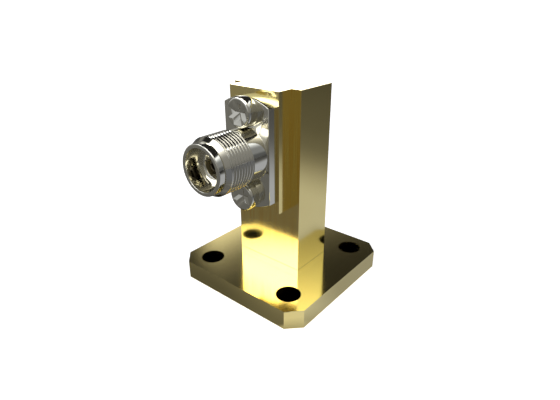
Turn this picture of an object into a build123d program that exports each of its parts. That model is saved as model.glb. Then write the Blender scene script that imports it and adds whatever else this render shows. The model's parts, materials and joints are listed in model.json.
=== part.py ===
from build123d import *
import os

# Right-angle adapter from a rectangular waveguide to a coaxial socket, in millimetres.
# The origin is the middle of the waveguide's mouth, on the flange's mating face.
# +Z runs up the waveguide, X is the guide's broad side, and the socket points along -Y.

# Waveguide channel
guide_width = 7.112
guide_height = 3.556
guide_corner_radius = 0.4

# Flange, with a short stub that carries the column
flange_side = 19.05
flange_thickness = 2.4
flange_corner_cut = 1.6
flange_edge_break = 0.08
bolt_spacing_x = 12.70
bolt_spacing_y = 13.46
bolt_hole_diameter = 2.95
stub_height = 0.55

# Walls of the column round the channel, beside its short and its long sides
side_wall = 1.194
broad_wall = 1.072

# Height of the socket's axis, and how far above it the channel is closed
axis_height = 17.95
backshort_distance = 2.75

# Outside of the socket, from the plate to the mouth
barrel_diameter = 6.0
barrel_length = 2.15
thread_diameter = 6.35
thread_length = 3.3
thread_pitch = 0.4
thread_depth = 0.165
thread_crest = 0.06
thread_chamfer_diameter = 5.66
thread_chamfer_length = 0.5
pilot_diameter = 5.5
pilot_length = 0.8
pilot_edge_break = 0.12

# Inside of the socket
mouth_diameter = 4.6
mouth_depth = 1.9
air_line_diameter = 2.92
bead_pocket_diameter = 4.0
bead_length = 1.0
sleeve_length = 2.65

# Contacts on the axis
contact_diameter = 1.27
contact_bore_diameter = 0.94
contact_bore_depth = 1.9
contact_slot_width = 0.14
contact_slot_depth = 1.6
stud_diameter = 0.8
stud_reach = 0.65
rear_contact_recess = 0.35
rear_bore_depth = 1.3
rear_slot_width = 0.12
rear_slot_depth = 0.9

# Glass seal, its pin and the probe in the waveguide
seal_diameter = 1.93
seal_length = 1.4
glass_diameter = 1.6
pin_diameter = 0.3
pin_line_diameter = 0.69
probe_reach = 1.83
probe_tip_diameter = 1.2
probe_tip_length = 1.1

# Screws that hold the plate to the pad
screw_diameter = 1.85
screw_point_chamfer = 0.2
head_diameter = 3.4
head_height = 1.25
head_rounding = 0.3
recess_span = 2.6
recess_width = 1.2
recess_floor_span = 1.4
recess_floor_width = 0.1
recess_depth = 0.4

# Mounting plate, a disc with two milled flats, and the rim that it keeps outside its screw holes
plate_width = 6.35
plate_thickness = 1.25
plate_rim = 0.455
plate_edge_break = 0.08

# Raised pad at the column's front, and how far it reaches past the plate
pad_depth = 2.1
pad_side_margin = 0.325
pad_lower_margin = 0.6
pad_upper_margin = 0.7

# Clearances: press_gap, thread_gap and screw_hole_gap are radial, the others are lengths
press_gap = 0.01
thread_gap = 0.01
screw_hole_gap = 0.12
head_to_barrel_gap = 0.05
screw_floor = 0.672
drill_allowance = 0.2
stud_end_gap = 0.1
pin_end_gap = 0.1

# Sizes that follow from the ones above
column_width = guide_width + 2 * side_wall
column_depth = guide_height + 2 * broad_wall
screw_hole_diameter = screw_diameter + 2 * screw_hole_gap
screw_spacing = barrel_diameter + head_diameter + 2 * head_to_barrel_gap
screw_reach = broad_wall + pad_depth - screw_floor - drill_allowance
plate_diameter = screw_spacing + screw_hole_diameter + 2 * plate_rim
pad_width = plate_width + 2 * pad_side_margin
pad_bottom = axis_height - plate_diameter / 2 - pad_lower_margin
column_top = axis_height + plate_diameter / 2 + pad_upper_margin
seam_height = flange_thickness + stub_height
pad_face = -(column_depth / 2 + pad_depth)
pad_to_channel = broad_wall + pad_depth

# Distances out of the pad's face, along the socket's axis
thread_start = plate_thickness + barrel_length
thread_end = thread_start + thread_length
pilot_start = thread_end + thread_chamfer_length
mouth = pilot_start + pilot_length
mating_plane = mouth - mouth_depth
bead_start = sleeve_length
bead_shoulder = bead_start + bead_length

os.makedirs("parts", exist_ok=True)


def half_plane(height=axis_height):
    """Plane in which the first coordinate runs out of the pad and the second away from the axis."""
    return Plane(origin=(0, pad_face, height), x_dir=(0, -1, 0), z_dir=(-1, 0, 0))


def turned(points, height=axis_height):
    """Turns an outline of (distance out of the pad, radius) points about a line along Y."""
    outline = make_face(Polyline(*points, close=True))
    return revolve(half_plane(height) * outline, Axis((0, pad_face, height), (0, -1, 0)))


def rod(diameter, start, end, height=axis_height):
    """Round bar along Y, between two distances out of the pad."""
    return turned([(start, 0), (end, 0), (end, diameter / 2), (start, diameter / 2)], height)


def tube(outer, inner, start, end):
    """Round tube on the socket's axis, between two distances out of the pad."""
    return turned([(start, inner / 2), (end, inner / 2), (end, outer / 2), (start, outer / 2)])


def upright_box(width, depth, bottom, top, middle_y=0.0):
    """Box that stands between two heights."""
    return Pos(0, middle_y, bottom) * extrude(Rectangle(width, depth), top - bottom)


def channel(bottom, top):
    """Rectangular waveguide space between two heights, with milled corners."""
    section = RectangleRounded(guide_width, guide_height, guide_corner_radius)
    return Pos(0, 0, bottom) * extrude(section, top - bottom)


def crossed_slots(width, depth, end, span):
    """Two slots across the socket's axis, cut back from one end towards the pad."""
    lengthwise = Pos(0, pad_face - end + depth / 2, axis_height)
    return lengthwise * Box(width, depth, span) + lengthwise * Box(span, depth, width)


def screw_heights():
    """Heights of the two screws, lower one first."""
    return axis_height - screw_spacing / 2, axis_height + screw_spacing / 2


def make_flange():
    """Square flange with cut corners, four bolt holes and the stub under the column."""
    square = Rectangle(flange_side, flange_side)
    plate = extrude(chamfer(square.vertices(), flange_corner_cut), flange_thickness)
    rims = plate.edges().group_by(Axis.Z)[0] + plate.edges().group_by(Axis.Z)[-1]
    plate = chamfer(rims, flange_edge_break)
    stub = upright_box(column_width, column_depth, flange_thickness, seam_height)
    places = GridLocations(bolt_spacing_x, bolt_spacing_y, 2, 2)
    holes = Sketch() + places * Circle(bolt_hole_diameter / 2)
    return plate + stub - extrude(holes, flange_thickness) - channel(0, seam_height)


def make_waveguide_body():
    """Column with its pad, the blind channel, the seal's seat and the two tapped holes."""
    column = upright_box(column_width, column_depth, seam_height, column_top)
    pad_middle = (pad_face - column_depth / 2) / 2
    pad = upright_box(pad_width, pad_depth, pad_bottom, column_top, pad_middle)
    body = column + pad - channel(seam_height, axis_height + backshort_distance)
    body -= rod(seal_diameter + 2 * press_gap, -seal_length, 0)
    body -= rod(pin_line_diameter, -pad_to_channel, -seal_length)
    for height in screw_heights():
        body -= rod(screw_diameter + 2 * thread_gap, -(screw_reach + drill_allowance), 0, height)
    return body


def thread_profile():
    """Ridges of the thread as rings, front end first, as (distance out of the pad, radius) points."""
    crest = thread_diameter / 2
    groove_count = int(thread_length / thread_pitch)
    first_groove = thread_end - (thread_length - groove_count * thread_pitch) / 2 - thread_pitch / 2
    half_mouth = (thread_pitch - thread_crest) / 2
    points = [(thread_end, crest)]
    for index in range(groove_count):
        middle = first_groove - index * thread_pitch
        points.append((middle + half_mouth, crest))
        points.append((middle, crest - thread_depth))
        points.append((middle - half_mouth, crest))
    points.append((thread_start, crest))
    return points


def make_connector_shell():
    """Mounting plate, barrel, threaded length, pilot and stepped bore, turned in one piece."""
    disc = Circle(plate_diameter / 2) & Rectangle(plate_width, plate_diameter)
    plate_plane = Plane(origin=(0, pad_face, axis_height), x_dir=(1, 0, 0), z_dir=(0, -1, 0))
    plate = extrude(plate_plane * disc, plate_thickness)
    plate = chamfer(plate.edges().group_by(Axis.Y)[0], plate_edge_break)
    lip = mouth - pilot_edge_break
    outside = turned([
        (0, 0),
        (mouth, 0),
        (mouth, pilot_diameter / 2 - pilot_edge_break),
        (lip, pilot_diameter / 2),
        (pilot_start, pilot_diameter / 2),
        (pilot_start, thread_chamfer_diameter / 2),
        *thread_profile(),
        (thread_start, barrel_diameter / 2),
        (0, barrel_diameter / 2),
    ])
    shell = plate + outside
    shell -= rod(mouth_diameter, mating_plane, mouth)
    shell -= rod(air_line_diameter, bead_shoulder, mating_plane)
    shell -= rod(bead_pocket_diameter, 0, bead_shoulder)
    for height in screw_heights():
        shell -= rod(screw_hole_diameter, 0, plate_thickness, height)
    return shell


def make_support_bead():
    """Dielectric bead against the shell's inner shoulder."""
    outer = bead_pocket_diameter - 2 * press_gap
    return tube(outer, stud_diameter + 2 * press_gap, bead_start, bead_shoulder)


def make_rear_sleeve():
    """Outer conductor behind the bead, held between it and the pad."""
    return tube(bead_pocket_diameter - 2 * press_gap, air_line_diameter, 0, bead_start)


def make_centre_contact():
    """Slotted socket contact, with a stud that passes through the bead."""
    body = rod(contact_diameter, bead_shoulder, mating_plane)
    stud = rod(stud_diameter, bead_start - stud_reach, bead_shoulder)
    bore = rod(contact_bore_diameter, mating_plane - contact_bore_depth, mating_plane)
    slots = crossed_slots(contact_slot_width, contact_slot_depth, mating_plane, 2 * contact_diameter)
    return body + stud - bore - slots


def make_rear_contact():
    """Rear half of the contact, which takes the stud at its front and grips the feed pin."""
    body = rod(contact_diameter, rear_contact_recess, bead_start)
    stud_bore = rod(
        stud_diameter + 2 * press_gap, bead_start - stud_reach - stud_end_gap, bead_start
    )
    pin_bore_end = rear_contact_recess + rear_bore_depth
    pin_bore = rod(pin_diameter + 2 * press_gap, rear_contact_recess, pin_bore_end)
    slot_middle = pad_face - rear_contact_recess - rear_slot_depth / 2
    slot = Pos(0, slot_middle, axis_height) * Box(
        rear_slot_width, rear_slot_depth, 2 * contact_diameter
    )
    return body - stud_bore - pin_bore - slot


def make_bead_ring():
    """Metal ring of the glass seal, flush with the pad's face."""
    return tube(seal_diameter, glass_diameter, -seal_length, 0)


def make_glass_bead():
    """Glass between the ring and the pin."""
    outer = glass_diameter - 2 * press_gap
    return tube(outer, pin_diameter + 2 * press_gap, -seal_length, 0)


def make_feed_pin():
    """Pin of the seal, from the rear contact into the waveguide."""
    front = rear_contact_recess + rear_bore_depth - pin_end_gap
    return rod(pin_diameter, -(pad_to_channel + probe_reach), front)


def make_probe_tip():
    """Sleeve on the pin's end, which widens the probe inside the waveguide."""
    end = -(pad_to_channel + probe_reach)
    return tube(probe_tip_diameter, pin_diameter + 2 * press_gap, end, end + probe_tip_length)


def cross_recess(height):
    """Two crossed wings with sloping walls, wide at the head's face and narrow at the floor."""
    face = pad_face - plate_thickness - head_height
    face_plane = Plane(origin=(0, face, height), x_dir=(1, 0, 0), z_dir=(0, 1, 0))
    floor_plane = face_plane.offset(recess_depth)
    opening = face_plane * Rectangle(recess_span, recess_width)
    floor = floor_plane * Rectangle(recess_floor_span, recess_floor_width)
    wing = loft([opening, floor])
    return wing + wing.rotate(Axis((0, face, height), (0, 1, 0)), 90)


def make_screw(height):
    """Pan head screw with a cross recess, through the plate and into the pad."""
    face = plate_thickness + head_height
    head = rod(head_diameter, plate_thickness, face, height)
    head = fillet(head.edges().group_by(Axis.Y)[0], head_rounding)
    radius = screw_diameter / 2
    shank = turned([
        (plate_thickness, 0),
        (plate_thickness, radius),
        (screw_point_chamfer - screw_reach, radius),
        (-screw_reach, radius - screw_point_chamfer),
        (-screw_reach, 0),
    ], height)
    return head + shank - cross_recess(height)


lower_height, upper_height = screw_heights()

pieces = {
    "flange": make_flange(),
    "waveguide_body": make_waveguide_body(),
    "connector_shell": make_connector_shell(),
    "support_bead": make_support_bead(),
    "rear_sleeve": make_rear_sleeve(),
    "centre_contact": make_centre_contact(),
    "rear_contact": make_rear_contact(),
    "bead_ring": make_bead_ring(),
    "glass_bead": make_glass_bead(),
    "feed_pin": make_feed_pin(),
    "probe_tip": make_probe_tip(),
    "upper_screw": make_screw(upper_height),
    "lower_screw": make_screw(lower_height),
}

for name, piece in pieces.items():
    export_step(piece, f"parts/{name}.step")
    print(name, "volume", round(piece.volume, 3), "solids", len(piece.solids()))
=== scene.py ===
"""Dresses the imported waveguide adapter: milled gold blocks, turned steel, screws and a small studio."""

from __future__ import annotations

import json
import logging
import math
from dataclasses import dataclass, field, fields
from enum import Enum
from typing import Any, Iterable, Sequence

import bmesh
import bpy
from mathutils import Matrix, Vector

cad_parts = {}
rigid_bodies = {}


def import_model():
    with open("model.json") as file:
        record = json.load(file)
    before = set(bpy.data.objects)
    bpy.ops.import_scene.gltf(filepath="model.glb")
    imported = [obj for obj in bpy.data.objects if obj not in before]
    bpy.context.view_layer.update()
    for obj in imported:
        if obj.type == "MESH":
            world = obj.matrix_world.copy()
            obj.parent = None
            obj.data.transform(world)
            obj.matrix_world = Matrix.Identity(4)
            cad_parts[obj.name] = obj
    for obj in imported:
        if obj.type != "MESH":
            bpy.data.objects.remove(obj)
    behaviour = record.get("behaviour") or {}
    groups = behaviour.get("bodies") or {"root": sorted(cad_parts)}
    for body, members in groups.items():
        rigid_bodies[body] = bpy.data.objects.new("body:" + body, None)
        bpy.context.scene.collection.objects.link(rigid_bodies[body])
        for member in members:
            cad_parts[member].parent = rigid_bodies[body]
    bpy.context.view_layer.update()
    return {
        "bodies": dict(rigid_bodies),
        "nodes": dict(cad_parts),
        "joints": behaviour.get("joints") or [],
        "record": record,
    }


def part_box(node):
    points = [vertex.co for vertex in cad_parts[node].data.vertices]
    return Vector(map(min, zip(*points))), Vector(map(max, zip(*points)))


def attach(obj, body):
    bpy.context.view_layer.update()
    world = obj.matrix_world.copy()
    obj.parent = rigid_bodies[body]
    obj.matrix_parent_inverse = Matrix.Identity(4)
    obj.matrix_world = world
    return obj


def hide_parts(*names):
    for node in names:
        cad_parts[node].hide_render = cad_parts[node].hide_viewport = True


LOG = logging.getLogger("waveguide_adapter")
MM = 0.001
MERGE_DISTANCE = 0.0002 * MM
FLAT_ANGLE = 0.5
SHARP_ANGLE = 50.0
FACE_WEIGHT = 100
DISC_SEGMENTS = 96
WHITE = (1.0, 1.0, 1.0, 1.0)
VECTOR = "NodeSocketVector"
MATERIAL = "NodeSocketMaterial"
SOCKET_KINDS = {float: "NodeSocketFloat", int: "NodeSocketInt", tuple: "NodeSocketColor"}

DRIFT_DETAIL = 3.0
DRIFT_EDGES = (0.3, 0.7)
MARKS_DETAIL = 4.0
STREAK_DETAIL = 2.0
STREAK_EDGES = (0.42, 0.58)
FAINTEST_STREAK = 0.3
STREAK_SQUEEZE = 0.01

Draft = bmesh.types.BMesh
Material = bpy.types.Material
Mesh = bpy.types.Mesh
Socket = bpy.types.NodeSocket
Thing = bpy.types.Object
Tree = bpy.types.NodeTree
Colour = tuple[float, float, float]
Ring = list[bmesh.types.BMVert]
Point = tuple[float, float]
Stops = Sequence[Point]
Fade = tuple[float, float, float, float]


class Slot(Enum):
    """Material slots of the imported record."""

    GOLD_PLATING = "gold_plating"
    SHELL_STEEL = "shell_steel"
    SCREW_STEEL = "screw_steel"
    CONTACT_GOLD = "contact_gold"
    BEAD_PLASTIC = "bead_plastic"
    SEAL_GLASS = "seal_glass"


class Marks(Enum):
    """Ways in which a tool leaves its fine marks on a surface."""

    LAPPED = "lapped"
    TURNED = "turned"


class Seen(Enum):
    """Which rays meet a thing in the studio."""

    BY_ALL = "by_all"
    IN_METAL = "in_metal"


# Node trees


class Wiring:
    """Adds nodes to a tree and joins their sockets."""

    def __init__(self, tree: Tree) -> None:
        """Empties the tree of a material, a world or a node group, to fill it anew."""
        self.tree = tree
        tree.nodes.clear()

    def feed(self, socket: Socket, value: Any) -> None:
        """Links a socket to another, or gives it a plain value.

        Args:
            socket: Input to fill.
            value: Output socket or constant.
        """
        if isinstance(value, Socket):
            self.tree.links.new(value, socket)
        else:
            socket.default_value = value

    def node(self, kind: str, inputs: dict[str | int, Any] | None = None, **settings: Any) -> bpy.types.Node:
        """Adds a node and fills its inputs.

        Args:
            kind: Type name of the node.
            inputs: Socket or plain value by the name or the number of the input.
            **settings: Properties to set on the node.

        Returns:
            The new node.
        """
        made = self.tree.nodes.new(kind)
        for name, value in settings.items():
            setattr(made, name, value)
        for key, value in (inputs or {}).items():
            self.feed(made.inputs[key], value)
        return made

    def math(self, operation: str, *values: Any) -> Socket:
        """Adds one arithmetic step on sockets or numbers, such as MULTIPLY."""
        return self.node("ShaderNodeMath", dict(enumerate(values)), operation=operation).outputs[0]

    def plus(self, first: Any, second: Any) -> Socket:
        """Sum of two values."""
        return self.math("ADD", first, second)

    def minus(self, first: Any, second: Any) -> Socket:
        """First value less the second."""
        return self.math("SUBTRACT", first, second)

    def times(self, first: Any, *others: Any) -> Any:
        """Product of two or more values.

        Args:
            first: Socket or number.
            *others: Sockets or numbers.

        Returns:
            The socket that holds the product.
        """
        for other in others:
            first = self.math("MULTIPLY", first, other)
        return first

    def more(self, first: Any, second: Any) -> Socket:
        """Larger of two values."""
        return self.math("MAXIMUM", first, second)

    def is_near(self, value: Any, place: Any, reach: Any) -> Socket:
        """One where a value is closer to a place than the reach, and else nought."""
        return self.math("LESS_THAN", self.math("ABSOLUTE", self.minus(value, place)), reach)

    def share(self, value: Any, low: Any, high: Any) -> Socket:
        """Place of a value between two others, as a share from 0 to 1."""
        inputs = {"Value": value, "From Min": low, "From Max": high}
        return self.node("ShaderNodeMapRange", inputs, interpolation_type="LINEAR").outputs[0]

    def ramp(self, value: Any, low: Any, high: Any, out_low: float = 0.0, out_high: float = 1.0) -> Socket:
        """Maps a range smoothly onto another, with a result at each of its ends."""
        inputs = {"From Min": low, "From Max": high, "To Min": out_low, "To Max": out_high, "Value": value}
        return self.node("ShaderNodeMapRange", inputs, interpolation_type="SMOOTHSTEP").outputs[0]

    def follow(self, value: Any, stops: Stops, unit: float = 1.0) -> Socket:
        """Follows a line through stops.

        Args:
            value: Socket with the place on the line.
            stops: Place and result of each stop, in order.
            unit: Size of the unit in which the stops give their places.

        Returns:
            The socket that holds the result.
        """
        first, last = stops[0][0], stops[-1][0]
        tallest = max(result for _, result in stops)
        ramp = self.node("ShaderNodeValToRGB", {0: self.share(value, first * unit, last * unit)})
        elements = ramp.color_ramp.elements
        for k, (place, result) in enumerate(stops):
            position = (place - first) / (last - first)
            element = elements[0] if k == 0 else elements[-1] if place == last else elements.new(position)
            element.position = position
            element.color = (result / tallest, result / tallest, result / tallest, 1.0)
        return self.times(ramp.outputs[0], tallest)

    def mixed(self, share: Any, first: Any, second: Any, blend: str = "MIX") -> Socket:
        """Mixes two colours.

        Args:
            share: Share of the second colour.
            first: First colour.
            second: Second colour.
            blend: How the second colour goes onto the first.

        Returns:
            The socket that holds the result.
        """
        inputs = {"Factor": share, "A": first, "B": second}
        mix = self.node("ShaderNodeMix", inputs, data_type="RGBA", blend_type=blend)
        return [out for out in mix.outputs if out.type == "RGBA"][0]

    def noise(self, place: Any, size: Any, detail: float) -> Socket:
        """Noise with grains of a size in millimetres."""
        inputs = {"Detail": detail, "Vector": place, "Scale": self.math("DIVIDE", 1.0 / MM, size)}
        return self.node("ShaderNodeTexNoise", inputs).outputs[0]

    def group(self, tree: Tree, inputs: dict[str, Any]) -> Any:
        """Adds a shader group and gives back its outputs."""
        return self.node("ShaderNodeGroup", inputs, node_tree=tree).outputs

    def place(self) -> Socket:
        """Place on the object, in metres."""
        return self.node("ShaderNodeTexCoord").outputs["Object"]

    def apart(self, vector: Any) -> Any:
        """X, Y and Z of a vector."""
        return self.node("ShaderNodeSeparateXYZ", {"Vector": vector}).outputs

    def together(self, x: Any, y: Any, z: Any) -> Socket:
        """Vector with the given X, Y and Z."""
        return self.node("ShaderNodeCombineXYZ", {"X": x, "Y": y, "Z": z}).outputs[0]

    def path(self, ray: str) -> Socket:
        """One for rays of a kind, such as Is Camera Ray, and nought for others."""
        return self.node("ShaderNodeLightPath").outputs[ray]

    def give(self, results: dict[str, Any]) -> Tree:
        """Fills the outputs of a node group by their names and gives back its tree."""
        self.node("NodeGroupOutput", results)
        return self.tree

    def cover(self, surface: Socket) -> None:
        """Makes a shader the material's surface."""
        self.node("ShaderNodeOutputMaterial", {"Surface": surface})


def new_group(name: str, kind: str, inputs: dict[str, Any], outputs: Iterable[str]) -> tuple[Wiring, Any]:
    """Starts a node group with named sockets.

    Args:
        name: Name of the group.
        kind: Shader or Geometry.
        inputs: Default value by name, or the kind of a socket that has none.
        outputs: Names, of which Colour and Geometry are sockets of that kind, and others are numbers.

    Returns:
        The wiring of the empty group and the sockets that hold its inputs.
    """
    tree = bpy.data.node_groups.new(name, f"{kind}NodeTree")
    for title, value in inputs.items():
        if isinstance(value, str):
            tree.interface.new_socket(title, in_out="INPUT", socket_type=value)
        else:
            socket = tree.interface.new_socket(title, in_out="INPUT", socket_type=SOCKET_KINDS[type(value)])
            socket.default_value = value
    kinds = {"Colour": "NodeSocketColor", "Geometry": "NodeSocketGeometry"}
    for title in outputs:
        tree.interface.new_socket(title, in_out="OUTPUT", socket_type=kinds.get(title, "NodeSocketFloat"))
    wires = Wiring(tree)
    return wires, wires.node("NodeGroupInput").outputs


def new_material(name: str) -> tuple[Material, Wiring]:
    """Starts a material with an empty tree.

    Args:
        name: Name of the material.

    Returns:
        The material and the wiring of its tree.
    """
    material = bpy.data.materials.new(name)
    material.use_nodes = True
    return material, Wiring(material.node_tree)


# Shader groups


def drift_tree() -> Tree:
    """Slow drift of a surface's colour.

    Returns:
        The group.
    """
    inputs = {"Vector": VECTOR, "Colour": WHITE, "Other Colour": WHITE, "Size": 4.0, "Contrast": 0.5}
    wires, given = new_group("tone_drift", "Shader", inputs, ["Colour"])
    clouds = wires.ramp(wires.noise(given["Vector"], given["Size"], DRIFT_DETAIL), *DRIFT_EDGES)
    share = wires.times(clouds, given["Contrast"])
    return wires.give({"Colour": wires.mixed(share, given["Colour"], given["Other Colour"])})


def joint_tree() -> Tree:
    """Thin level band of a darker tone at the joint of two pieces, drawn by a share from 0 to 1.

    Returns:
        The group.
    """
    inputs = {"Vector": VECTOR, "Colour": WHITE, "Height": 0.0, "Half Width": 0.05 * MM, "Tone": 0.7}
    wires, given = new_group("joint_shade", "Shader", inputs | {"Share": 1.0}, ["Colour"])
    band = wires.is_near(wires.apart(given["Vector"])["Z"], given["Height"], given["Half Width"])
    loss = wires.times(band, given["Share"], wires.minus(1.0, given["Tone"]))
    inputs = {0: given["Colour"], "Scale": wires.minus(1.0, loss)}
    return wires.give({"Colour": wires.node("ShaderNodeVectorMath", inputs, operation="SCALE").outputs[0]})


def streak_tree() -> Tree:
    """Upright streaks that a side mill leaves on two flat faces, an inner one and one further out.

    Returns:
        The group.
    """
    inputs = {"Vector": VECTOR, "Colour": WHITE, "Tint": WHITE}
    inputs |= {"Inner Plane": 0.0, "Outer Plane": 0.0, "Reach": 0.03 * MM, "Foot": 0.0, "Full": 1.0}
    inputs |= {"Outer Top": 0.0, "Fade": 0.5 * MM, "Width": 0.11}
    wires, given = new_group("mill_streaks", "Shader", inputs, ["Colour"])
    x, y, z = wires.apart(given["Vector"])
    inner = wires.is_near(y, given["Inner Plane"], given["Reach"])
    outer = wires.is_near(y, given["Outer Plane"], given["Reach"])
    outer = wires.times(outer, wires.ramp(wires.minus(given["Outer Top"], z), 0.0, given["Fade"]))
    rise = wires.ramp(z, given["Foot"], given["Full"])
    stretched = wires.together(x, 0.0, wires.times(z, STREAK_SQUEEZE))
    noise = wires.noise(stretched, given["Width"], STREAK_DETAIL)
    streaks = wires.ramp(noise, *STREAK_EDGES, FAINTEST_STREAK, 1.0)
    share = wires.times(wires.more(inner, outer), rise, streaks)
    return wires.give({"Colour": wires.mixed(share, given["Colour"], given["Tint"], "MULTIPLY")})


def marks_tree(marks: Marks) -> Tree:
    """Fine marks of a tool, as a roughness and a height.

    Args:
        marks: Lapped marks run every way in short strokes, and turned marks run round the socket's axis.

    Returns:
        The group.
    """
    inputs = {"Vector": VECTOR, "Size": 0.1, "Axis Height": 0.0, "Roughness": 0.1, "Spread": 0.02}
    wires, given = new_group(f"{marks.value}_marks", "Shader", inputs, ["Roughness", "Height"])
    place = given["Vector"]
    if marks is Marks.TURNED:
        x, y, z = wires.apart(place)
        rise = wires.minus(z, given["Axis Height"])
        squares = wires.plus(wires.math("POWER", x, 2.0), wires.math("POWER", rise, 2.0))
        place = wires.together(wires.math("SQRT", squares), y, 0.0)
    noise = wires.noise(place, given["Size"], MARKS_DETAIL)
    swing = wires.times(wires.minus(noise, 0.5), given["Spread"])
    return wires.give({"Roughness": wires.plus(given["Roughness"], swing), "Height": noise})


@dataclass
class SurfaceGroups:
    """Shader groups that the finishes share."""

    drift: Tree = field(default_factory=drift_tree)
    joint: Tree = field(default_factory=joint_tree)
    streaks: Tree = field(default_factory=streak_tree)
    marks: dict[Marks, Tree] = field(default_factory=lambda: {marks: marks_tree(marks) for marks in Marks})


# Finishes


@dataclass(frozen=True)
class Landmarks:
    """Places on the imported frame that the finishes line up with, in metres."""

    axis_height: float
    joint_height: float
    pad_front: float


@dataclass(frozen=True)
class Finish:
    """Surface with a faint cloud in its colour and in its gloss, such as moulded plastic or fired glass."""

    name: str
    colour: Colour
    other_colour: Colour
    roughness: float
    spread: float
    marks: Marks = Marks.LAPPED
    mark_size: float = 0.1
    mark_depth: float = 0.0
    drift_size: float = 0.8
    metallic: float = 0.0

    def tone(self, wires: Wiring, groups: SurfaceGroups, place: Socket, marked: Landmarks) -> Socket:
        """Colour of the surface, which drifts slowly over it."""
        inputs = {"Vector": place, "Colour": (*self.colour, 1.0), "Other Colour": (*self.other_colour, 1.0)}
        return wires.group(groups.drift, inputs | {"Size": self.drift_size})["Colour"]

    def build(self, groups: SurfaceGroups, marked: Landmarks) -> Material:
        """Makes the material.

        Args:
            groups: Shared shader groups.
            marked: Places on the frame.

        Returns:
            The material.
        """
        material, wires = new_material(self.name)
        place = wires.place()
        inputs = {"Vector": place, "Size": self.mark_size, "Axis Height": marked.axis_height}
        inputs |= {"Roughness": self.roughness, "Spread": self.spread}
        marks = wires.group(groups.marks[self.marks], inputs)
        surface = {"Base Color": self.tone(wires, groups, place, marked)}
        surface |= {"Metallic": self.metallic, "Roughness": marks["Roughness"]}
        if self.mark_depth:
            bump = {"Strength": 1.0, "Distance": self.mark_depth * MM, "Height": marks["Height"]}
            surface["Normal"] = wires.node("ShaderNodeBump", bump).outputs[0]
        wires.cover(wires.node("ShaderNodeBsdfPrincipled", surface).outputs[0])
        return material


@dataclass(frozen=True)
class MetalFinish(Finish):
    """Polished metal, whose fine marks have a depth, in millimetres."""

    mark_size: float = 0.12
    mark_depth: float = 0.0003
    drift_size: float = 5.0
    metallic: float = 1.0


@dataclass(frozen=True)
class PlatedFinish(MetalFinish):
    """Bright plating of the milled blocks, paler in mirrors as a painted reflection tint, with their joint
    and the mill's streaks.
    """

    joint_tone: float = 0.65
    # Colour that all rays but the camera's see, a painted reflection tint.
    mirrored_colour: Colour = (1.0, 0.875, 0.4)
    streak_tint: Colour = (0.92, 0.75, 0.48)
    column_front: float = -2.85 * MM
    streak_foot: float = 5 * MM
    streak_full: float = 9 * MM
    streak_top: float = 23.4 * MM

    def tone(self, wires: Wiring, groups: SurfaceGroups, place: Socket, marked: Landmarks) -> Socket:
        """Colour of the plating.

        Args:
            wires: Tree of the material.
            groups: Shared shader groups.
            place: Place on the object.
            marked: Places on the frame.

        Returns:
            The socket that holds the colour.
        """
        straight = wires.path("Is Camera Ray")
        joint = {"Vector": place, "Colour": super().tone(wires, groups, place, marked), "Share": straight}
        joint |= {"Height": marked.joint_height, "Tone": self.joint_tone}
        colour = wires.group(groups.joint, joint)["Colour"]
        # Rays other than the camera's see the paler colour, a painted reflection tint.
        colour = wires.mixed(straight, (*self.mirrored_colour, 1.0), colour)
        streaks = {"Vector": place, "Colour": colour, "Tint": (*self.streak_tint, 1.0)}
        streaks |= {"Inner Plane": self.column_front, "Outer Plane": marked.pad_front}
        streaks |= {"Foot": self.streak_foot, "Full": self.streak_full, "Outer Top": self.streak_top}
        return wires.group(groups.streaks, streaks)["Colour"]


FINISHES = {
    Slot.GOLD_PLATING: PlatedFinish(
        "gold_plating", (1.0, 0.83, 0.35), (0.97, 0.795, 0.325), roughness=0.12, spread=0.02,
        mark_depth=0.00004,
    ),
    Slot.SHELL_STEEL: MetalFinish(
        "shell_steel", (0.74, 0.71, 0.595), (0.70, 0.67, 0.555), roughness=0.10, spread=0.03,
        marks=Marks.TURNED, mark_size=0.3, mark_depth=0.0001,
    ),
    Slot.SCREW_STEEL: MetalFinish(
        "screw_steel", (0.75, 0.72, 0.60), (0.71, 0.68, 0.56), roughness=0.07, spread=0.02,
        mark_depth=0.00003,
    ),
    # Drawn dark and dull, a painted shade for the deep mouth and bore that the contacts sit in.
    Slot.CONTACT_GOLD: MetalFinish(
        "contact_gold", (0.28, 0.25, 0.17), (0.25, 0.22, 0.15), roughness=0.3, spread=0.05,
        marks=Marks.TURNED, mark_size=0.3, mark_depth=0.0001,
    ),
    # Drawn nearly black, a painted shade that darkens the mouth.
    Slot.BEAD_PLASTIC: Finish(
        "bead_plastic", (0.10, 0.09, 0.08), (0.08, 0.07, 0.06), roughness=0.45, spread=0.1
    ),
    Slot.SEAL_GLASS: Finish(
        "seal_glass", (0.05, 0.07, 0.10), (0.03, 0.05, 0.08), roughness=0.12, spread=0.05
    ),
}


@dataclass
class Finishes:
    """One material for each slot of the record."""

    marked: Landmarks
    groups: SurfaceGroups = field(default_factory=SurfaceGroups)
    made: dict[Slot, Material] = field(default_factory=dict)

    def build(self) -> None:
        """Makes all the materials."""
        for slot, finish in FINISHES.items():
            self.made[slot] = finish.build(self.groups, self.marked)


# Mesh helpers


def linked(name: str, data: bpy.types.ID) -> Thing:
    """Puts an object in the scene at the origin.

    Args:
        name: Name of the object.
        data: Its mesh, camera or lamp.

    Returns:
        The object.
    """
    made = bpy.data.objects.new(name, data)
    bpy.context.scene.collection.objects.link(made)
    return made


def mesh_of(work: Draft, name: str) -> Mesh:
    """Turns a mesh in the making into a plain one.

    Args:
        work: Mesh in the making, which is freed.
        name: Name of the plain mesh.

    Returns:
        The plain mesh.
    """
    mesh = bpy.data.meshes.new(name)
    work.to_mesh(mesh)
    work.free()
    return mesh


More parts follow.
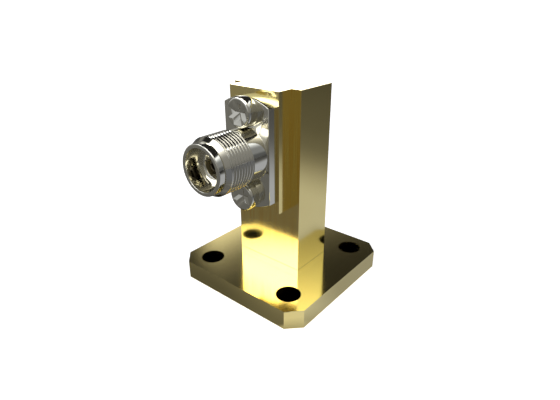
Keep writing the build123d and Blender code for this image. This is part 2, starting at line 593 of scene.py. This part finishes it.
def settle(made: Thing) -> None:
    """Turns an object's modifiers into plain mesh.

    Args:
        made: Object with modifiers.
    """
    depsgraph = bpy.context.evaluated_depsgraph_get()
    mesh = bpy.data.meshes.new_from_object(made.evaluated_get(depsgraph), depsgraph=depsgraph)
    made.modifiers.clear()
    old = made.data
    made.data = mesh
    bpy.data.meshes.remove(old)
    mesh.name = made.name


def hold_flats(made: Thing) -> None:
    """Shades an object smooth, with sharp edges past an angle and flat faces that stay flat.

    Args:
        made: Object to shade.
    """
    made.data.shade_smooth()
    made.data.set_sharp_from_angle(angle=math.radians(SHARP_ANGLE))
    flats = made.modifiers.new("flats", "WEIGHTED_NORMAL")
    flats.keep_sharp = True
    flats.weight = FACE_WEIGHT
    settle(made)


def disc(name: str, radius: float, height: float) -> Thing:
    """Makes a flat disc round the object.

    Args:
        name: Name of the disc.
        radius: Its radius in metres.
        height: Its height in metres.

    Returns:
        The disc.
    """
    work = bmesh.new()
    bmesh.ops.create_circle(work, cap_ends=True, segments=DISC_SEGMENTS, radius=radius)
    bmesh.ops.translate(work, verts=work.verts, vec=(0, 0, height))
    return linked(name, mesh_of(work, name))


def finish_piece(made: Thing, material: Material, nodes: Iterable[str]) -> None:
    """Dresses a piece, lets it ride on the part's body and stand for its nodes.

    Args:
        made: The piece.
        material: Its finish.
        nodes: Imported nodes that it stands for.
    """
    made.data.materials.clear()
    made.data.materials.append(material)
    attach(made, "root")
    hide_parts(*nodes)
    LOG.info("built %s with %d faces", made.name, len(made.data.polygons))


# Milled and turned blocks


@dataclass
class MachinedBlock:
    """A machined piece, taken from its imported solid, with the fine rounding of deburred edges."""

    node: str
    name: str
    finish: Slot = Slot.GOLD_PLATING
    rounding: float = 0.02 * MM
    edge_break: float = 0.0
    break_play: float = 0.002 * MM
    rounding_steps: int = 2
    least_angle: float = 40.0

    def build(self, frame: dict[str, Any], material: Material) -> None:
        """Copies, merges and rounds the solid.

        Args:
            frame: The loaded frame.
            material: The block's finish.
        """
        mesh = frame["nodes"][self.node].data.copy()
        work = bmesh.new()
        work.from_mesh(mesh)
        bmesh.ops.remove_doubles(work, verts=work.verts, dist=MERGE_DISTANCE)
        flat = math.radians(FLAT_ANGLE)
        bmesh.ops.dissolve_limit(work, angle_limit=flat, verts=work.verts, edges=work.edges)
        if self.edge_break:
            self.square_rims(work)
        weights = work.edges.layers.float.new("bevel_weight_edge")
        for edge in work.edges:
            if edge.is_convex and edge.calc_face_angle(0.0) > math.radians(self.least_angle):
                edge[weights] = 1.0
        work.to_mesh(mesh)
        work.free()
        mesh.attributes.remove(mesh.attributes["custom_normal"])
        made = linked(self.name, mesh)
        bevel = made.modifiers.new("rounding", "BEVEL")
        bevel.width = self.rounding
        bevel.segments = self.rounding_steps
        bevel.limit_method = "WEIGHT"
        settle(made)
        hold_flats(made)
        finish_piece(made, material, [self.node])

    def square_rims(self, work: Draft) -> None:
        """Squares the broken rims of a plate, which take the finer rounding instead.

        Args:
            work: The plate's mesh.
        """
        for vert in work.verts:
            for edge in vert.link_edges:
                outer = edge.other_vert(vert)
                rise = abs(vert.co.z - outer.co.z)
                apart = (vert.co.xy - outer.co.xy).length
                is_inner = vert.co.xy.length < outer.co.xy.length
                is_break = abs(rise - self.edge_break) < self.break_play and 0 < apart < 2 * self.edge_break
                if is_inner and is_break:
                    vert.co.x, vert.co.y = outer.co.x, outer.co.y


# Socket


@dataclass
class SocketAxis:
    """Places on the socket's axis, which runs along -Y out of the pad."""

    face: float
    height: float

    def point(self, out: float, radius: float, angle: float) -> Vector:
        """Point at a distance out of the pad, a radius and an angle round the axis."""
        return Vector((radius * math.sin(angle), self.face - out, self.height + radius * math.cos(angle)))


@dataclass
class Thread:
    """Outside thread of the socket, a ridge that winds round the axis."""

    axis: SocketAxis
    start: float = 3.4 * MM
    end: float = 6.7 * MM
    crest_radius: float = 3.175 * MM
    pitch: float = 0.4 * MM
    depth: float = 0.165 * MM
    runout: float = 0.15 * MM
    crest_share: float = 0.18
    root_share: float = 0.97
    segments: int = 144
    steps: int = 16

    def tree(self) -> Tree:
        """Node tree that winds the thread.

        Returns:
            The geometry tree.
        """
        inputs = {"Finish": MATERIAL, "Face": self.axis.face, "Axis Height": self.axis.height}
        for size in fields(self):
            if size.name != "axis":
                inputs[size.name.replace("_", " ").title()] = getattr(self, size.name)
        wires, given = new_group("winding_thread", "Geometry", inputs, ["Geometry"])
        most = wires.math("DIVIDE", wires.minus(given["End"], given["Start"]), given["Pitch"])
        turns = wires.plus(wires.math("CEIL", most), 1.0)
        counts = (wires.plus(wires.times(turns, given["Segments"]), 1.0), wires.plus(given["Steps"], 1.0))
        sizes = {"Size X": 1.0, "Size Y": 1.0, "Vertices X": counts[0], "Vertices Y": counts[1]}
        strip = wires.node("GeometryNodeMeshGrid", sizes).outputs["Mesh"]
        along, across, _ = wires.apart(wires.node("GeometryNodeInputPosition").outputs[0])
        turn = wires.times(wires.plus(along, 0.5), turns)
        wound = wires.minus(wires.plus(turn, wires.plus(across, 0.5)), 1.0)
        wound = wires.math("MINIMUM", wires.more(wound, 0.0), most)
        out = wires.plus(given["Start"], wires.times(wound, given["Pitch"]))
        phase = wires.math("FRACT", wires.plus(wires.minus(wound, turn), wires.plus(turns, 1.0)))
        radius = self.radius(wires, given, phase, out)
        angle = wires.times(turn, 2 * math.pi)
        point = wires.together(
            wires.times(radius, wires.math("SINE", angle)),
            wires.minus(given["Face"], out),
            wires.plus(given["Axis Height"], wires.times(radius, wires.math("COSINE", angle))),
        )
        strip = wires.node("GeometryNodeSetPosition", {"Geometry": strip, "Position": point}).outputs[0]
        strip = wires.node("GeometryNodeRealizeInstances", {"Geometry": strip}).outputs[0]
        dressing = {"Geometry": strip, "Material": given["Finish"]}
        return wires.give({"Geometry": wires.node("GeometryNodeSetMaterial", dressing).outputs[0]})

    @staticmethod
    def radius(wires: Wiring, given: Any, phase: Any, out: Any) -> Socket:
        """Radius of the ridge across one pitch, which fades to the crest at the front end of the thread.

        Args:
            wires: Tree to add to.
            given: The tree's own inputs.
            phase: Place across the pitch, from 0 to 1.
            out: Distance out of the pad.

        Returns:
            The socket that holds the radius.
        """
        from_crest = wires.math("ABSOLUTE", wires.minus(wires.times(phase, 2.0), 1.0))
        flank = wires.share(from_crest, given["Crest Share"], given["Root Share"])
        front = wires.math("DIVIDE", wires.minus(given["End"], out), given["Runout"])
        fade = wires.math("MINIMUM", front, 1.0)
        return wires.minus(given["Crest Radius"], wires.times(flank, fade, given["Depth"]))

    def back_radius(self, turn: float) -> float:
        """Radius of the ridge at the back end of the thread.

        Args:
            turn: Share of a turn round the axis.

        Returns:
            The radius in metres.
        """
        phase = (1.0 - turn) % 1.0
        share = (abs(2 * phase - 1) - self.crest_share) / (self.root_share - self.crest_share)
        return self.crest_radius - self.depth * min(max(share, 0.0), 1.0)

    def mesh(self, material: Material) -> Mesh:
        """Runs the tree and returns the wound strip.

        Args:
            material: Finish of the thread.

        Returns:
            The strip as a plain mesh.
        """
        holder = linked("thread_strip", bpy.data.meshes.new("thread_strip"))
        tree = self.tree()
        winder = holder.modifiers.new("winder", "NODES")
        winder.node_group = tree
        for item in tree.interface.items_tree:
            if item.name == "Finish":
                winder[item.identifier] = material
        settle(holder)
        mesh = holder.data
        bpy.data.objects.remove(holder)
        return mesh


def ring(work: Draft, axis: SocketAxis, out: float, radius: float, segments: int) -> Ring:
    """Adds a ring of vertices round the socket's axis."""
    return [work.verts.new(axis.point(out, radius, 2 * math.pi * k / segments)) for k in range(segments)]


def skin(work: Draft, rings: Sequence[Ring]) -> None:
    """Joins rings with faces.

    Args:
        work: Mesh in the making.
        rings: Rings of the same count, in order.
    """
    for first, second in zip(rings, rings[1:]):
        count = len(first)
        for k in range(count):
            after = (k + 1) % count
            work.faces.new((first[k], first[after], second[after], second[k]))


def fill(work: Draft, loops: Sequence[Ring]) -> None:
    """Fills the flat face between an outer loop and the loops inside it.

    Args:
        work: Mesh in the making.
        loops: The loops.
    """
    edges = []
    for loop in loops:
        for first, second in zip(loop, [*loop[1:], loop[0]]):
            edges.append(work.edges.get((first, second)) or work.edges.new((first, second)))
    bmesh.ops.triangle_fill(work, use_beauty=True, use_dissolve=False, edges=edges)


def quarter(middle: Point, size: float, first: float, last: float, steps: int = 5) -> list[Point]:
    """Arc between two angles in degrees, measured from the outward direction.

    Args:
        middle: Distance out of the pad and radius of the arc's middle.
        size: Radius of the arc itself.
        first: Angle at its start.
        last: Angle at its end.
        steps: Count of its pieces.

    Returns:
        Distance out of the pad and radius of each point.
    """
    points = []
    for k in range(steps + 1):
        angle = math.radians(first + (last - first) * k / steps)
        points.append((middle[0] + size * math.cos(angle), middle[1] + size * math.sin(angle)))
    return points


@dataclass
class ConnectorShell:
    """Plate, barrel, thread, pilot and stepped bore of the socket, turned from one bar."""

    axis: SocketAxis
    thread: Thread
    screw_heights: tuple[float, float]
    plate_radius: float = 6.25 * MM
    plate_width: float = 6.35 * MM
    plate_thickness: float = 1.25 * MM
    plate_rounding: float = 0.07 * MM
    screw_hole_radius: float = 1.045 * MM
    barrel_radius: float = 3.0 * MM
    barrel_fillet: float = 0.04 * MM
    lead_in: float = 0.5 * MM
    lead_in_radius: float = 2.83 * MM
    pilot_radius: float = 2.75 * MM
    pilot_length: float = 0.8 * MM
    lip_rounding: float = 0.12 * MM
    mouth_radius: float = 2.3 * MM
    mouth_rounding: float = 0.05 * MM
    mouth_depth: float = 1.9 * MM
    air_line_radius: float = 1.46 * MM
    bead_pocket_radius: float = 2.0 * MM
    bead_shoulder: float = 3.65 * MM
    edge: float = 0.03 * MM
    hole_segments: int = 48
    arc_steps: int = 40
    rounding_steps: int = 4

    def outline(self, inset: float) -> list[Point]:
        """The plate's outline, drawn in by a distance.

        Args:
            inset: The distance in metres.

        Returns:
            Place across and up from the plate's middle of each point.
        """
        reach = math.acos(self.plate_width / 2 / self.plate_radius)
        points = []
        for radius in (self.plate_radius, -self.plate_radius):
            for k in range(self.arc_steps + 1):
                angle = reach + (math.pi - 2 * reach) * k / self.arc_steps
                points.append((radius * math.cos(angle), radius * math.sin(angle)))
        result = []
        for k, (x, z) in enumerate(points):
            before, after = points[k - 1], points[(k + 1) % len(points)]
            normals = []
            for (ax, az), (bx, bz) in ((before, (x, z)), ((x, z), after)):
                length = math.hypot(bx - ax, bz - az)
                normals.append(((az - bz) / length, (bx - ax) / length))
            nx, nz = normals[0][0] + normals[1][0], normals[0][1] + normals[1][1]
            scale = 2 / (nx * nx + nz * nz)
            result.append((x + nx * scale * inset, z + nz * scale * inset))
        return result

    def plate_loop(self, work: Draft, out: float, inset: float) -> Ring:
        """Adds the plate's outline at a distance out of the pad, drawn in by an inset."""
        face, height = self.axis.face, self.axis.height
        return [work.verts.new((x, face - out, height + z)) for x, z in self.outline(inset)]

    def hole_loop(self, work: Draft, height: float, out: float) -> Ring:
        """Adds a screw hole's rim at a distance out of the pad."""
        hole = SocketAxis(self.axis.face, height)
        return ring(work, hole, out, self.screw_hole_radius, self.hole_segments)

    def front_profile(self) -> list[Point]:
        """Profile from the thread's front end round the lip and down the bore to the pad.

        Returns:
            Distance out of the pad and radius of each point.
        """
        pilot = self.thread.end + self.lead_in
        mouth = pilot + self.pilot_length
        mating = mouth - self.mouth_depth
        lip, edge = self.lip_rounding, self.mouth_rounding
        return [
            (self.thread.end, self.thread.crest_radius),
            (pilot, self.lead_in_radius),
            (pilot, self.pilot_radius),
            *quarter((mouth - lip, self.pilot_radius - lip), lip, 90, 0),
            *quarter((mouth - edge, self.mouth_radius + edge), edge, 0, -90),
            (mating, self.mouth_radius),
            (mating, self.air_line_radius + self.edge),
            (mating - self.edge, self.air_line_radius),
            (self.bead_shoulder, self.air_line_radius),
            (self.bead_shoulder, self.bead_pocket_radius),
            (0.0, self.bead_pocket_radius),
        ]

    def back_rings(self, work: Draft) -> list[Ring]:
        """Adds the rings from the thread's back end along the barrel to the plate.

        Args:
            work: Mesh in the making.

        Returns:
            The rings in order.
        """
        count, start, fillet = self.thread.segments, self.thread.start, self.barrel_fillet
        ridge = []
        for k in range(count):
            radius = self.thread.back_radius(k / count)
            ridge.append(work.verts.new(self.axis.point(start, radius, 2 * math.pi * k / count)))
        profile = [(start, self.barrel_radius)]
        for x, r in quarter((0.0, 0.0), fillet, 90, 0, self.rounding_steps):
            profile.append((self.plate_thickness + fillet - x, self.barrel_radius + fillet - r))
        return [ridge, *(ring(work, self.axis, out, radius, count) for out, radius in profile)]

    def plate_rims(self, work: Draft) -> list[Ring]:
        """Adds the plate's outline at its back, at its front and round its rounding.

        Args:
            work: Mesh in the making.

        Returns:
            The outlines in order.
        """
        rounding = self.plate_rounding
        side = self.plate_thickness - rounding
        rims = [self.plate_loop(work, 0.0, 0.0), self.plate_loop(work, side, 0.0)]
        for x, r in quarter((0.0, 0.0), rounding, 90, 0, self.rounding_steps)[1:]:
            rims.append(self.plate_loop(work, side + x, rounding - r))
        return rims

    def build(self, material: Material) -> None:
        """Makes the shell as one closed mesh.

        Args:
            material: Steel finish.
        """
        work = bmesh.new()
        work.from_mesh(self.thread.mesh(material))
        back = self.back_rings(work)
        skin(work, back)
        count = self.thread.segments
        front = [ring(work, self.axis, out, radius, count) for out, radius in self.front_profile()]
        skin(work, front)
        rims = self.plate_rims(work)
        skin(work, rims)
        front_holes, back_holes = [], []
        for height in self.screw_heights:
            front_holes.append(self.hole_loop(work, height, self.plate_thickness))
            back_holes.append(self.hole_loop(work, height, 0.0))
            skin(work, [front_holes[-1], back_holes[-1]])
        fill(work, [rims[-1], back[-1], *front_holes])
        fill(work, [rims[0], front[-1], *back_holes])
        bmesh.ops.remove_doubles(work, verts=work.verts, dist=MERGE_DISTANCE)
        bmesh.ops.dissolve_degenerate(work, edges=work.edges, dist=MERGE_DISTANCE)
        bmesh.ops.recalc_face_normals(work, faces=work.faces)
        LOG.info("shell has %d open edges", sum(1 for edge in work.edges if not edge.is_manifold))
        made = linked("shell_turned", mesh_of(work, "shell_turned"))
        hold_flats(made)
        finish_piece(made, material, ["connector_shell"])


# Studio


@dataclass
class View:
    """The camera, at the photograph's viewing angle. Azimuths count from straight behind the object."""

    azimuth: float = 39.318
    elevation: float = 25.074
    place: tuple[float, float, float] = (31.552 * MM, -39.022 * MM, 33.576 * MM)
    focal_pixels: float = 434.709
    picture_width: float = 560.0
    sensor: float = 36.0
    nearest: float = 1 * MM
    farthest: float = 10.0

    def build(self) -> None:
        """Makes the camera and gives it to the scene."""
        data = bpy.data.cameras.new("camera")
        data.sensor_width = self.sensor
        data.lens = self.focal_pixels * self.sensor / self.picture_width
        data.clip_start = self.nearest
        data.clip_end = self.farthest
        camera = aimed("camera", data, self.place, self.direction(0, -self.elevation))
        bpy.context.scene.camera = camera

    def direction(self, azimuth: float, elevation: float) -> Vector:
        """Direction at an azimuth from the camera's own view and an elevation, both in degrees."""
        across, rise = math.radians(self.azimuth - azimuth), math.radians(elevation)
        return Vector((-math.sin(across) * math.cos(rise), math.cos(across) * math.cos(rise), math.sin(rise)))

    def along(self, wires: Wiring, place: Any, azimuth: float) -> Socket:
        """Distance of a place from the middle along the floor, toward an azimuth."""
        way = self.direction(azimuth, 0)
        return wires.plus(wires.times(place["X"], way.x), wires.times(place["Y"], way.y))


def aimed(name: str, data: bpy.types.ID, place: Vector, way: Vector) -> Thing:
    """Puts a camera or a lamp in the scene.

    Args:
        name: Name of the object.
        data: Its camera or lamp.
        place: Where it stands.
        way: Where it faces.

    Returns:
        The object.
    """
    made = linked(name, data)
    made.location = place
    made.rotation_mode = "QUATERNION"
    made.rotation_quaternion = way.to_track_quat("-Z", "Y")
    return made


def own_light(wires: Wiring, glow: Any, colour: Any) -> Socket:
    """Light that the camera, metal and glass see, and that falls on nothing.

    Args:
        wires: Tree of the material.
        glow: Its strength, where 1 is white.
        colour: Its colour.

    Returns:
        The emission's socket.
    """
    seen = wires.more(wires.path("Is Camera Ray"), wires.path("Is Glossy Ray"))
    seen = wires.more(seen, wires.path("Is Transmission Ray"))
    shine = {"Color": colour, "Strength": wires.times(seen, glow)}
    return wires.node("ShaderNodeEmission", shine).outputs[0]


def show(thing: Thing, seen: Seen) -> None:
    """Says which rays meet a thing."""
    for ray in ("camera", "diffuse", "shadow", "transmission"):
        setattr(thing, f"visible_{ray}", seen is Seen.BY_ALL)


@dataclass(frozen=True)
class SoftBox:
    """Large soft lamp that faces the object."""

    name: str
    azimuth: float
    elevation: float
    width: float
    height: float
    radiance: float
    distance: float = 0.5

    def build(self, view: View, middle: Vector) -> None:
        """Makes the lamp, whose power follows from its size and radiance.

        Args:
            view: The camera, from which the azimuth counts.
            middle: Place that the lamp faces.
        """
        data = bpy.data.lights.new(self.name, "AREA")
        data.shape = "RECTANGLE"
        data.size, data.size_y = self.width, self.height
        data.energy = self.radiance * math.pi * self.width * self.height
        direction = view.direction(self.azimuth, self.elevation)
        lamp = aimed(self.name, data, middle + direction * self.distance, -direction)
        lamp.visible_camera = False
        # Metal doesn't see the lamp; the cards' bright bands stand in for it as painted reflections.
        lamp.visible_glossy = False


@dataclass(frozen=True)
class Sheet:
    """Upright curved sheet round the object. Its stops give its own light at each elevation."""

    name: str
    from_azimuth: float
    to_azimuth: float
    distance: float
    stops: Stops
    colour: Colour = (1.0, 1.0, 1.0)
    lean: float = 0.0
    seen: Seen = Seen.IN_METAL
    left_fade: tuple[float, float] = (-90.0, -89.0)
    left_share: float = 1.0
    rim: float = 1.0
    steps: int = 24

    def rise(self, elevation: float) -> float:
        """Height on the sheet at an elevation in degrees."""
        return self.distance * math.tan(math.radians(elevation))

    def build(self, view: View) -> None:
        """Bends the sheet round the object and gives it its own light.

        Args:
            view: The camera, from which the azimuths count.
        """
        work = bmesh.new()
        ends = (self.stops[0][0], self.stops[-1][0] + self.rim)
        columns = []
        for k in range(self.steps + 1):
            azimuth = self.from_azimuth + (self.to_azimuth - self.from_azimuth) * k / self.steps
            way = view.direction(azimuth, 0) * self.distance
            columns.append([work.verts.new((way.x, way.y, self.rise(elevation))) for elevation in ends])
        for (first_low, first_high), (next_low, next_high) in zip(columns, columns[1:]):
            work.faces.new((first_low, first_high, next_high, next_low))
        made = linked(self.name, mesh_of(work, self.name))
        material, wires = new_material(f"{self.name}_paper")
        place = wires.apart(wires.place())
        rightward = view.along(wires, place, 90)
        height = wires.plus(place["Z"], wires.times(rightward, self.lean))
        glow = wires.follow(height, [(self.rise(elevation), light) for elevation, light in self.stops])
        # All rays but the camera's see the sheet dimmed toward its left to the left share, a painted shade in
        # its reflection.
        fade = [self.distance * math.sin(math.radians(azimuth)) for azimuth in self.left_fade]
        share = wires.ramp(rightward, *fade, self.left_share, 1.0)
        share = wires.more(share, wires.path("Is Camera Ray"))
        wires.cover(own_light(wires, wires.times(glow, share), (*self.colour, 1.0)))
        made.data.materials.append(material)
        show(made, self.seen)


@dataclass(frozen=True)
class GroundCard:
    """Grey card on the floor that only the polished metal sees, painted with the light and shade of a lit
    floor.

    A fade is the distance where it starts, where it ends, and its share at both. Stops are in millimetres.
    """

    radius: float = 0.54
    height: float = 0.02 * MM
    # Painted shade on the left, a painted pool of light on the right and a painted bright patch in front.
    left_tone: float = 0.15
    right_tone: float = 0.48
    front_tone: float = 0.67
    right_colour: Colour = (1.0, 1.05, 1.22)
    side: Fade = (0 * MM, 6 * MM, 0.0, 1.0)
    # Painted shadows: black under the flange, and darker round it as its contact shadow.
    under: Fade = (8.3 * MM, 8.4 * MM, 0.0, 1.0)
    contact: Fade = (10 * MM, 14 * MM, 0.6, 1.0)
    least_right_contact: float = 0.64
    near: Fade = (14 * MM, 30 * MM, 1.0, 0.35)
    corner: Fade = (5.5 * MM, 12.5 * MM, 0.0, 0.68)
    corner_end: Fade = (12.5 * MM, 13.5 * MM, 1.0, 0.0)
    left_corner: float = 0.8
    left_far: Fade = (25 * MM, 120 * MM, 1.0, 1.35)
    far_stops: Stops = (
        (21, 1.0), (24, 0.93), (28, 0.78), (33, 0.575), (37, 0.41), (43.7, 0.277), (57.5, 0.21), (110, 0.155),
    )
    front_stops: Stops = ((11, 0.0), (14, 1.0), (17, 1.0), (22, 0.001))
    front_middle: float = 1.45 * MM
    front_side: Fade = (1.6 * MM, 2.3 * MM, 1.0, 0.0)

    def build(self, view: View) -> None:
        """Makes the card with its own light.

        Args:
            view: The camera, from which left, right and front count.
        """
        card = disc("ground_card", self.radius, self.height)
        material, wires = new_material("ground_card_grey")
        place = wires.apart(wires.place())
        rightward = view.along(wires, place, 90)
        toward = view.along(wires, place, 180)
        reach = wires.more(wires.math("ABSOLUTE", place["X"]), wires.math("ABSOLUTE", place["Y"]))
        side = wires.ramp(rightward, *self.side)
        far = wires.follow(place["Y"], self.far_stops, MM)
        # Painted contact shadow round the flange.
        contact = wires.ramp(reach, *self.contact)
        corner = wires.times(wires.ramp(toward, *self.corner), wires.ramp(reach, *self.corner_end))
        right = wires.times(far, wires.ramp(toward, *self.near), self.right_tone, side)
        right = wires.times(right, wires.more(contact, self.least_right_contact), wires.plus(corner, 1.0))
        left = wires.times(wires.minus(1.0, side), self.left_tone, contact)
        left = wires.times(left, wires.plus(wires.times(corner, self.left_corner), 1.0))
        left = wires.times(left, wires.ramp(view.along(wires, place, -90), *self.left_far))
        aside = wires.math("ABSOLUTE", wires.minus(rightward, self.front_middle))
        front = wires.follow(toward, self.front_stops, MM)
        front = wires.times(front, wires.ramp(aside, *self.front_side))
        rest = wires.times(wires.minus(1.0, front), wires.plus(right, left))
        tone = wires.plus(rest, wires.times(front, self.front_tone))
        # Painted shadow: no light under the flange.
        glow = wires.times(tone, wires.ramp(reach, *self.under))
        colour = wires.mixed(wires.times(side, far), WHITE, (*self.right_colour, 1.0))
        wires.cover(own_light(wires, glow, colour))
        card.data.materials.append(material)
        show(card, Seen.IN_METAL)


@dataclass
class Studio:
    """Pale floor and backdrop, soft lamps and grey cards round the object."""

    view: View
    middle: Vector
    floor_radius: float = 0.6
    floor_tone: float = 0.8
    world_tone: float = 0.022
    ground_card: GroundCard = GroundCard()
    lamps: tuple[SoftBox, ...] = (
        SoftBox("key_box", -118, 37, 0.62, 0.14, 4.5),
        SoftBox("top_box", -150, 68, 0.50, 0.22, 1.6),
        SoftBox("right_box", 75, 52, 0.30, 0.20, 3.0),
    )
    # Cards that only metal sees give it painted reflections, with bright bands where the soft lamps stand.
    sheets: tuple[Sheet, ...] = (
        Sheet(
            "backdrop", -60, 60, 0.32,
            (
                (-0.5, 1.5), (3, 1.6), (6, 4.0), (16, 4.0), (19, 1.6), (23, 1.1),
                (25.5, 0.75), (26.8, 0.5), (27.9, 0.32), (29.2, 0.16), (31, 0.10), (33, 0.06), (36, 0.025),
            ),
            # Metal sees the backdrop's left part dimmed, a painted shade in its reflection.
            lean=0.5, seen=Seen.BY_ALL, left_fade=(-15.5, -10.5), left_share=0.06, rim=4,
        ),
        Sheet(
            "left_card", -158, -72, 0.56,
            (
                (-1, 0.4), (10, 0.6), (27, 0.72), (28.5, 0.95), (30, 1.5), (31.5, 4.2),
                (42.5, 4.2), (43.5, 0.04),
            ),
            colour=(1.0, 1.04, 1.15),
        ),
        Sheet("left_edge_card", -72, -60, 0.56, ((-1, 0.4), (10, 0.6), (28, 0.6), (32, 0.05))),
        Sheet(
            "right_card", 45, 112, 0.56,
            (
                (-1, 0.11), (9, 0.12), (15, 0.27), (27, 0.28), (30, 0.34), (33, 0.53), (36, 0.78),
                (38, 1.1), (40, 1.4), (44.6, 1.4), (45.8, 0.04),
            ),
            colour=(1.0, 1.05, 1.15),
        ),
        Sheet(
            "front_card", 112, 196, 0.56,
            ((-1, 0.18), (9, 0.26), (30, 0.3), (38, 0.36), (46, 0.65), (52, 1.2), (58, 1.5)),
        ),
        Sheet("front_left_card", 196, 202, 0.56, ((-1, 0.2), (9, 0.28), (36, 0.3), (42, 0.1), (46, 0.04))),
        Sheet("top_card", -164, -78, 0.3, ((57.5, 0.05), (60, 2.8), (80, 2.8))),
        Sheet("far_backdrop", 60, 300, 0.585, ((-3.3, 1.5), (27, 1.5)), seen=Seen.BY_ALL, steps=48),
        Sheet("top_front_card", 112, 196, 0.3, ((56, 2.8), (80, 2.8))),
    )

    def build(self) -> None:
        """Makes the world, the floor, the cards and the lamps."""
        self.build_world()
        self.build_floor()
        for sheet in self.sheets:
            sheet.build(self.view)
        self.ground_card.build(self.view)
        for lamp in self.lamps:
            lamp.build(self.view, self.middle)

    def build_world(self) -> None:
        """Makes a dim even light from all round."""
        world = bpy.data.worlds.new("studio")
        bpy.context.scene.world = world
        world.use_nodes = True
        wires = Wiring(world.node_tree)
        tone = self.world_tone
        even = wires.node("ShaderNodeBackground", {"Color": (tone, tone, tone, 1.0)})
        wires.node("ShaderNodeOutputWorld", {"Surface": even.outputs[0]})

    def build_floor(self) -> None:
        """Makes the round pale floor under the object."""
        floor = disc("floor", self.floor_radius, 0.0)
        material, wires = new_material("floor_paper")
        tone = self.floor_tone
        paper = wires.node("ShaderNodeBsdfDiffuse", {"Color": (tone, tone, tone, 1.0)}).outputs[0]
        both = wires.node("ShaderNodeAddShader", {0: paper, 1: own_light(wires, tone, WHITE)})
        wires.cover(both.outputs[0])
        floor.data.materials.append(material)


# Whole part


def dress_nodes(frame: dict[str, Any], finishes: Finishes) -> None:
    """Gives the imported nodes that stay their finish.

    Args:
        frame: The loaded frame.
        finishes: The finishes.
    """
    names = {
        Slot.SHELL_STEEL: ["rear_sleeve"],
        Slot.CONTACT_GOLD: ["centre_contact", "rear_contact", "bead_ring", "feed_pin", "probe_tip"],
        Slot.BEAD_PLASTIC: ["support_bead"],
        Slot.SEAL_GLASS: ["glass_bead"],
    }
    for slot, nodes in names.items():
        for name in nodes:
            node = frame["nodes"][name]
            node.data.materials.clear()
            node.data.materials.append(finishes.made[slot])


def main() -> None:
    """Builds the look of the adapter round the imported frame."""
    logging.basicConfig(level=logging.INFO, format="%(name)s: %(message)s")
    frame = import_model()
    bpy.context.scene.view_settings.view_transform = "Standard"
    shell_low, shell_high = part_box("connector_shell")
    screw_boxes = [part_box("lower_screw"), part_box("upper_screw")]
    screw_heights = tuple((low.z + high.z) / 2 for low, high in screw_boxes)
    axis = SocketAxis(shell_high.y, (shell_low.z + shell_high.z) / 2)
    flange_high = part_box("flange")[1]
    finishes = Finishes(Landmarks(axis.height, flange_high.z, axis.face))
    finishes.build()
    gold = finishes.made[Slot.GOLD_PLATING]
    MachinedBlock("flange", "flange_milled", rounding=0.003 * MM, edge_break=0.08 * MM).build(frame, gold)
    MachinedBlock("waveguide_body", "body_milled").build(frame, gold)
    for place in ("lower", "upper"):
        screw = MachinedBlock(f"{place}_screw", f"{place}_screw_turned", Slot.SCREW_STEEL)
        screw.build(frame, finishes.made[Slot.SCREW_STEEL])
    ConnectorShell(axis, Thread(axis), screw_heights).build(finishes.made[Slot.SHELL_STEEL])
    dress_nodes(frame, finishes)
    view = View()
    view.build()
    Studio(view, Vector((0, 0, axis.height / 2))).build()


if __name__ == "__main__":
    main()
